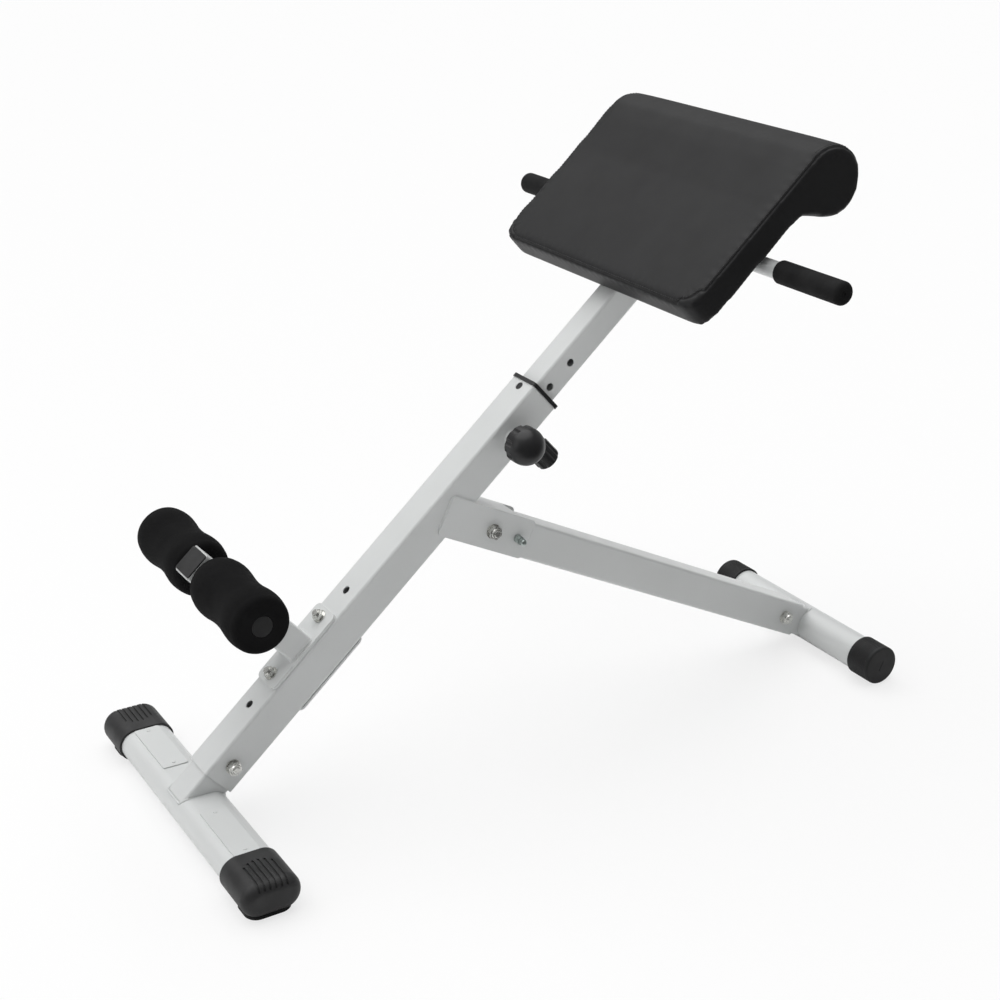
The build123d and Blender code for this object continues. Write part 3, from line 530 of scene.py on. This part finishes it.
def evenly(hits, pitch):
    """Points and normals at an even spacing along a run of hits."""
    spots, travelled, target = [], 0.0, 0.0
    for (p, a), (q, b) in zip(hits, hits[1:]):
        step = (q - p).length
        while step > 0 and target <= travelled + step:
            part = (target - travelled) / step
            spots.append((p.lerp(q, part), a.lerp(b, part).normalized()))
            target += pitch
        travelled += step
    return spots


def surface_of(piece):
    graph = bpy.context.evaluated_depsgraph_get()
    return BVHTree.FromObject(piece, graph)


seam_run = evenly(cast_seam(surface_of(cushion), 0.0), 2.0 * MM)
seam_points = np.array([tuple(p) for p, _ in seam_run])
tops = coordinates(cushion.data)
normals = np.empty(len(cushion.data.vertices) * 3)
cushion.data.vertices.foreach_get("normal", normals)
normals = normals.reshape(-1, 3)
local = pad_local(tops)
near = np.where((local[:, 2] > PAD_TOP - 16) | (local[:, 0] > 980))[0]
distance = np.full(len(tops), 1.0)
where = np.zeros(len(tops), int)
for block in np.array_split(near, 24):
    gaps = np.linalg.norm(tops[block][:, None, :] - seam_points[None, :, :], axis=2)
    distance[block] = gaps.min(axis=1)
    where[block] = gaps.argmin(axis=1)
groove = 1.4 * MM * np.exp(-(distance / (1.9 * MM)) ** 2)
pucker = 0.16 * MM * np.exp(-((distance - 7 * MM) / (7 * MM)) ** 2) * np.sin(where * 2 * pi / 7.5)
pucker[distance > 0.03] = 0
set_coordinates(cushion.data, tops - normals * (groove + pucker)[:, None])
for polygon in cushion.data.polygons:
    polygon.use_smooth = True
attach(cushion, "seat")
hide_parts("pad_cushion")

# welt that fills the seam, a dark strip in it as painted seam shadow, and the row of stitches beside it
skin = surface_of(cushion)
welt_path = [p - n * 0.9 * MM for p, n in evenly(cast_seam(skin, 0.0), 4.0 * MM)]
points, faces = tube(welt_path, 1.0 * MM, 8)
new_piece("cushion_welt", points, faces, VINYL, "seat", "pad_cover")
# A dark strip sunk in the seam, in the foot pads' black rubber: painted shadow of the seam.
seam_shadow_path = [p - n * 0.15 * MM for p, n in evenly(cast_seam(skin, 0.07), 4.0 * MM)]
points, faces = tube(seam_shadow_path, 0.55 * MM, 6)
new_piece("cushion_seam_shadow", points, faces, FOOT_RUBBER_AND_SEAM_SHADOW, "seat", "pad_cover")
stitch_run = evenly(cast_seam(skin, 0.14), 4.8 * MM)
points, faces = [], []
for (p, n), (q, _) in zip(stitch_run, stitch_run[1:]):
    along = (q - p).normalized()
    base = len(points)
    mid = p + n * 0.15 * MM
    reach = [mid - along * 1.6 * MM - n * 0.5 * MM, mid - along * 1.1 * MM, mid + n * 0.1 * MM,
             mid + along * 1.1 * MM, mid + along * 1.6 * MM - n * 0.5 * MM]
    more, quads = tube(reach, [0.22 * MM, 0.36 * MM, 0.40 * MM, 0.36 * MM, 0.22 * MM], 6)
    points += more
    faces += [tuple(base + i for i in face) for face in quads]
new_piece("cushion_stitching", points, faces, THREAD, "seat", "pad_cover")

# --------------------------------------------------- foam rollers and grips ----
low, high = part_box("roller_axle")
AXLE = (Vector(low) + Vector(high)) / 2
low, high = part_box("handle_bar")
HANDLE = (Vector(low) + Vector(high)) / 2
FOAM_LENGTH, FOAM_LOBE, FOAM_BORE, FOAM_SHOULDER = 134.0, 38.0, 13.05, 9.0


FOAM_SPOTS = [(9.0, 36.4), (16.0, 37.6), (24.0, 38.0), (33.0, 37.4), (44.0, 35.9), (55.0, 34.9), (67.0, 34.5),
              (79.0, 34.9)]


def foam_radius(x):
    """Radius of a dog-bone roller at x from its end: a smooth curve through the spots."""
    x = min(x, FOAM_LENGTH - x)
    if x < FOAM_SHOULDER:
        rise = sqrt(max(0.0, 1 - (1 - x / FOAM_SHOULDER) ** 2))
        return FOAM_LOBE - FOAM_SHOULDER + (FOAM_SPOTS[0][1] - FOAM_LOBE + FOAM_SHOULDER) * rise
    k = max(i for i, spot in enumerate(FOAM_SPOTS[:-1]) if spot[0] <= x)
    (x0, r0), (x1, r1) = FOAM_SPOTS[k], FOAM_SPOTS[k + 1]
    before = FOAM_SPOTS[max(k - 1, 0)]
    after = FOAM_SPOTS[min(k + 2, len(FOAM_SPOTS) - 1)]
    slope0 = (r1 - before[1]) / (x1 - before[0]) * (x1 - x0)
    slope1 = (after[1] - r0) / (after[0] - x0) * (x1 - x0)
    f = (x - x0) / (x1 - x0)
    return (r0 * (2 * f ** 3 - 3 * f ** 2 + 1) + slope0 * (f ** 3 - 2 * f ** 2 + f)
            + r1 * (3 * f ** 2 - 2 * f ** 3) + slope1 * (f ** 3 - f ** 2))


def soft_wobble(phase, amount):
    """Slow unevenness of a soft turned surface, none at its bore."""
    def wobble(along, angle, radius):
        if radius < 20.0 and amount > 0.15:
            return 0.0
        return amount * (0.5 * sin(2 * angle + phase) + 0.3 * sin(along / 9.0 + 3 * angle)
                         + 0.2 * sin(along / 3.1 + 5 * angle + phase))
    return wobble


def soft_end(radius, bore, dish, rows):
    """A flat end face from the bore to a radius, dished a little in the middle."""
    return [(dish * sin(pi * k / rows), bore + (radius - bore) * k / rows) for k in range(rows)]


foam_end_face = soft_end(FOAM_LOBE - FOAM_SHOULDER, FOAM_BORE, 0.5, 8)
shoulder = [FOAM_SHOULDER * (1 - cos(pi / 2 * k / 9)) for k in range(10)]
foam_run = shoulder + [FOAM_SHOULDER + (FOAM_LENGTH - 2 * FOAM_SHOULDER) * k / 60 for k in range(1, 60)]
foam_run += [FOAM_LENGTH - x for x in shoulder[::-1]]
foam_profile = foam_end_face + [(x, foam_radius(x)) for x in foam_run]
foam_profile += [(FOAM_LENGTH - x, r) for x, r in foam_end_face[::-1]]
foam_profile.append(foam_profile[0])
for side, name in ((-1, "right"), (1, "left")):
    middle = AXLE + Y * side * 21.0 * MM
    points, faces = turned(foam_profile, middle, Y * side, 96, soft_wobble(1.7 * side, 0.22))
    roller = new_piece(f"roller_foam_{name}", points, faces, FOAM, f"roller_{name}", "roller_foam")
    weld_ends(roller)
    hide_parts(f"foam_roller_{name}")

GRIP_LENGTH, GRIP_RADIUS, GRIP_BORE, GRIP_ROUND = 114.0, 14.7, 11.05, 6.0
grip_profile = [(0.0, GRIP_BORE), (0.0, GRIP_RADIUS - 1.4), (0.4, GRIP_RADIUS - 0.4), (1.4, GRIP_RADIUS)]
grip_profile += [(1.4 + (GRIP_LENGTH - GRIP_ROUND - 1.4) * k / 40, GRIP_RADIUS) for k in range(1, 41)]
grip_profile += [(GRIP_LENGTH - GRIP_ROUND + GRIP_ROUND * sin(pi / 2 * k / 8),
                  GRIP_RADIUS - GRIP_ROUND + GRIP_ROUND * cos(pi / 2 * k / 8)) for k in range(1, 9)]
grip_profile += [(GRIP_LENGTH, 5.2), (GRIP_LENGTH - 0.5, 4.8), (GRIP_LENGTH - 0.5, 3.6), (GRIP_LENGTH, 3.2),
                 (GRIP_LENGTH, 1.6), (GRIP_LENGTH - 5.0, 1.4), (GRIP_LENGTH - 5.0, 0.0)]
for side, name in ((-1, "right"), (1, "left")):
    middle = HANDLE + Y * side * 231.5 * MM
    points, faces = turned(grip_profile, middle, Y * side, 64, soft_wobble(side, 0.06))
    grip = new_piece(f"foam_grip_{name}", points, faces, GRIP, "seat", "black_rubber")
    weld_ends(grip)
    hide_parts(f"grip_{name}")


# -------------------------------------------------------------- weld beads ----
def bead(name, path, radius, body, closed=True):
    """A painted weld bead with the ripple of its passes."""
    spots = evenly([(p, p) for p in (path + path[:1] if closed else path)], 1.3 * MM)
    path = [p for p, _ in spots]
    radii = [radius * MM * (1 + 0.16 * sin(2.1 * k) + 0.10 * sin(0.37 * k + 1)) for k in range(len(path))]
    points, faces = tube(path, radii, 8, closed=closed)
    new_piece(name, points, faces, PAINT, body, "frame_paint")


def square_loop(at, half, corner, steps=5):
    """Corner-rounded square of points; at(a, b) turns plane millimetres into a point."""
    loop = []
    for k, (a, b) in enumerate(((1, 1), (-1, 1), (-1, -1), (1, -1))):
        for i in range(steps + 1):
            angle = pi / 2 * (k + i / steps)
            loop.append(at(a * (half - corner) + corner * cos(angle), b * (half - corner) + corner * sin(angle)))
    return loop


def dropped(loop, way, target):
    """Moves points along a direction until they meet a piece."""
    surface = surface_of(nodes[target])
    landed = []
    for p in loop:
        spot = surface.ray_cast(p, way)[0]
        if spot is not None:
            landed.append(spot)
    return landed


roller_s = (AXLE - POST_FOOT).dot(U) / MM
bead("weld_roller_post", square_loop(lambda a, b: post(roller_s + a, b, 29.2), 19.2, 4.0), 1.3, "frame")
bead("weld_stub", dropped(square_loop(lambda a, b: post(2.0, a, b), 22.2, 4.0), -U, "base_tube"), 1.7, "frame")
bead("weld_leg_end", dropped(square_loop(lambda a, b: leg(596.0, a, b), 22.7, 4.0), LU, "front_tube"), 1.6, "leg")
low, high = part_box("pin_housing")
collar = (Vector(low) + Vector(high)) / 2
collar.y = high[1] - 0.2 * MM
bead("weld_collar", [collar + (U * cos(2 * pi * k / 24) + N * sin(2 * pi * k / 24)) * 9.8 * MM
                     for k in range(24)], 1.1, "frame")
for side, name in ((-1, "right"), (1, "left")):
    outline = [leg(60.0 - 2.0 * k, side * 25.6, 29.0) for k in range(67)]
    outline += [leg(-73.0 - 6.0 * sin(pi / 2 * k / 5), side * 25.6, 23.0 + 6.0 * cos(pi / 2 * k / 5))
                for k in range(1, 6)]
    outline += [leg(-79.0, side * 25.6, 23.0 - 2.0 * k) for k in range(1, 22)]
    on_side = [p for p in outline if abs((p - POST_FOOT).dot(N)) < 24.0 * MM]
    bead(f"weld_bracket_{name}", on_side, 1.25, "frame", closed=False)

# ------------------------------------------------------- camera and studio ----
stage_mesh = bpy.data.meshes.new("floor")
half_floor = 30.0
stage_mesh.from_pydata([(-half_floor, -half_floor, 0), (half_floor, -half_floor, 0),
                        (half_floor, half_floor, 0), (-half_floor, half_floor, 0)], [], [(0, 1, 2, 3)])
floor = bpy.data.objects.new("floor", stage_mesh)
bpy.context.scene.collection.objects.link(floor)
floor_look = Nodes("floor", (0.93, 0.93, 0.93), 0.9)
# Glossy rays see the near half of the floor dark: a painted dark reflection in the glossy parts; other rays see
# it pale.
floor_ray = floor_look.add("ShaderNodeLightPath").outputs["Is Glossy Ray"]
floor_split = floor_look.add("ShaderNodeSeparateXYZ")
floor_look.link(floor_look.place, floor_split.inputs[0])
near_side_dark_reflection = floor_look.maths("LESS_THAN", floor_split.outputs["Y"], -0.35)
floor_look.colour(floor_look.mix(floor_look.maths("MULTIPLY", floor_ray, near_side_dark_reflection),
                                 (0.93, 0.93, 0.93), (0.10, 0.10, 0.10)))
floor_glow = floor_look.add("ShaderNodeEmission")
floor_glow.inputs["Strength"].default_value = 1.0
floor_blend = floor_look.add("ShaderNodeMixShader")
floor_seen = floor_look.add("ShaderNodeLightPath").outputs["Is Camera Ray"]
floor_look.link(floor_look.maths("MULTIPLY", floor_seen, 0.72), floor_blend.inputs[0])
floor_look.link(floor_look.shader.outputs[0], floor_blend.inputs[1])
floor_look.link(floor_glow.outputs[0], floor_blend.inputs[2])
floor_look.link(floor_blend.outputs[0], floor_look.tree.nodes["Material Output"].inputs["Surface"])
stage_mesh.materials.append(floor_look.material)

camera_data = bpy.data.cameras.new("camera")
camera_data.sensor_width = 36.0
camera_data.lens = 62.49
camera = bpy.data.objects.new("camera", camera_data)
bpy.context.scene.collection.objects.link(camera)
azimuth, elevation, roll = radians(-31.1806), radians(22.7906), radians(0.0705)
back = Vector((sin(azimuth) * cos(elevation), -cos(azimuth) * cos(elevation), sin(elevation)))
right = Vector((cos(azimuth), sin(azimuth), 0))
up = back.cross(right)
cam_x = right * cos(roll) + up * sin(roll)
cam_y = up * cos(roll) - right * sin(roll)
turn = Matrix((cam_x, cam_y, back)).transposed().to_4x4()
camera.matrix_world = Matrix.Translation((-1.12841, -1.79765, 1.22508)) @ turn
bpy.context.scene.camera = camera


def area_light(name, place, target, size, energy, colour=(1, 1, 1)):
    data = bpy.data.lights.new(name, "AREA")
    data.shape = "RECTANGLE"
    data.size, data.size_y = size
    data.energy = energy
    data.color = colour
    lamp = bpy.data.objects.new(name, data)
    bpy.context.scene.collection.objects.link(lamp)
    lamp.location = place
    lamp.rotation_mode = "QUATERNION"
    lamp.rotation_quaternion = (Vector(target) - Vector(place)).to_track_quat("-Z", "Y")


area_light("left", (-3.2, 0.4, 1.5), (0, 0, 0.4), (1.6, 2.2), 9)

sun_data = bpy.data.lights.new("overhead", "SUN")
sun_data.energy = 1.95
sun_data.angle = radians(75)
sun = bpy.data.objects.new("overhead", sun_data)
bpy.context.scene.collection.objects.link(sun)
sun.rotation_mode = "QUATERNION"
sun.rotation_quaternion = Vector((0.08, -0.26, -1.0)).to_track_quat("-Z", "Y")

world = bpy.data.worlds.new("studio")
bpy.context.scene.world = world
world.use_nodes = True
tree = world.node_tree


def ramp_node(tree, value, stops):
    node = tree.nodes.new("ShaderNodeValToRGB")
    for element, (position, level) in zip(node.color_ramp.elements, stops):
        element.position = position
        element.color = (level, level, level, 1)
    tree.links.new(value, node.inputs["Fac"])
    return node.outputs["Color"]


def multiply(tree, a, b):
    node = tree.nodes.new("ShaderNodeMix")
    node.data_type = "RGBA"
    node.blend_type = "MULTIPLY"
    node.inputs[0].default_value = 1.0
    tree.links.new(a, node.inputs[6])
    tree.links.new(b, node.inputs[7])
    return node.outputs[2]


sky = tree.nodes["Background"]
coord = tree.nodes.new("ShaderNodeTexCoord")
split = tree.nodes.new("ShaderNodeSeparateXYZ")
tree.links.new(coord.outputs["Generated"], split.inputs[0])
by_height = ramp_node(tree, split.outputs["Z"], ((0.0, 0.30), (0.7, 0.72)))
flip = tree.nodes.new("ShaderNodeMapRange")
flip.inputs["From Min"].default_value = -0.9
flip.inputs["From Max"].default_value = 0.1
tree.links.new(split.outputs["Y"], flip.inputs["Value"])
by_side = ramp_node(tree, flip.outputs[0], ((0.0, 0.42), (1.0, 1.0)))
tree.links.new(multiply(tree, by_height, by_side), sky.inputs["Color"])
sky.inputs["Strength"].default_value = 0.75
seen = tree.nodes.new("ShaderNodeBackground")
seen.inputs["Color"].default_value = (1, 1, 1, 1)
path = tree.nodes.new("ShaderNodeLightPath")
mixer = tree.nodes.new("ShaderNodeMixShader")
tree.links.new(path.outputs["Is Camera Ray"], mixer.inputs["Fac"])
tree.links.new(sky.outputs[0], mixer.inputs[1])
tree.links.new(seen.outputs[0], mixer.inputs[2])
tree.links.new(mixer.outputs[0], tree.nodes["World Output"].inputs["Surface"])
bpy.context.scene.view_settings.view_transform = "Standard"
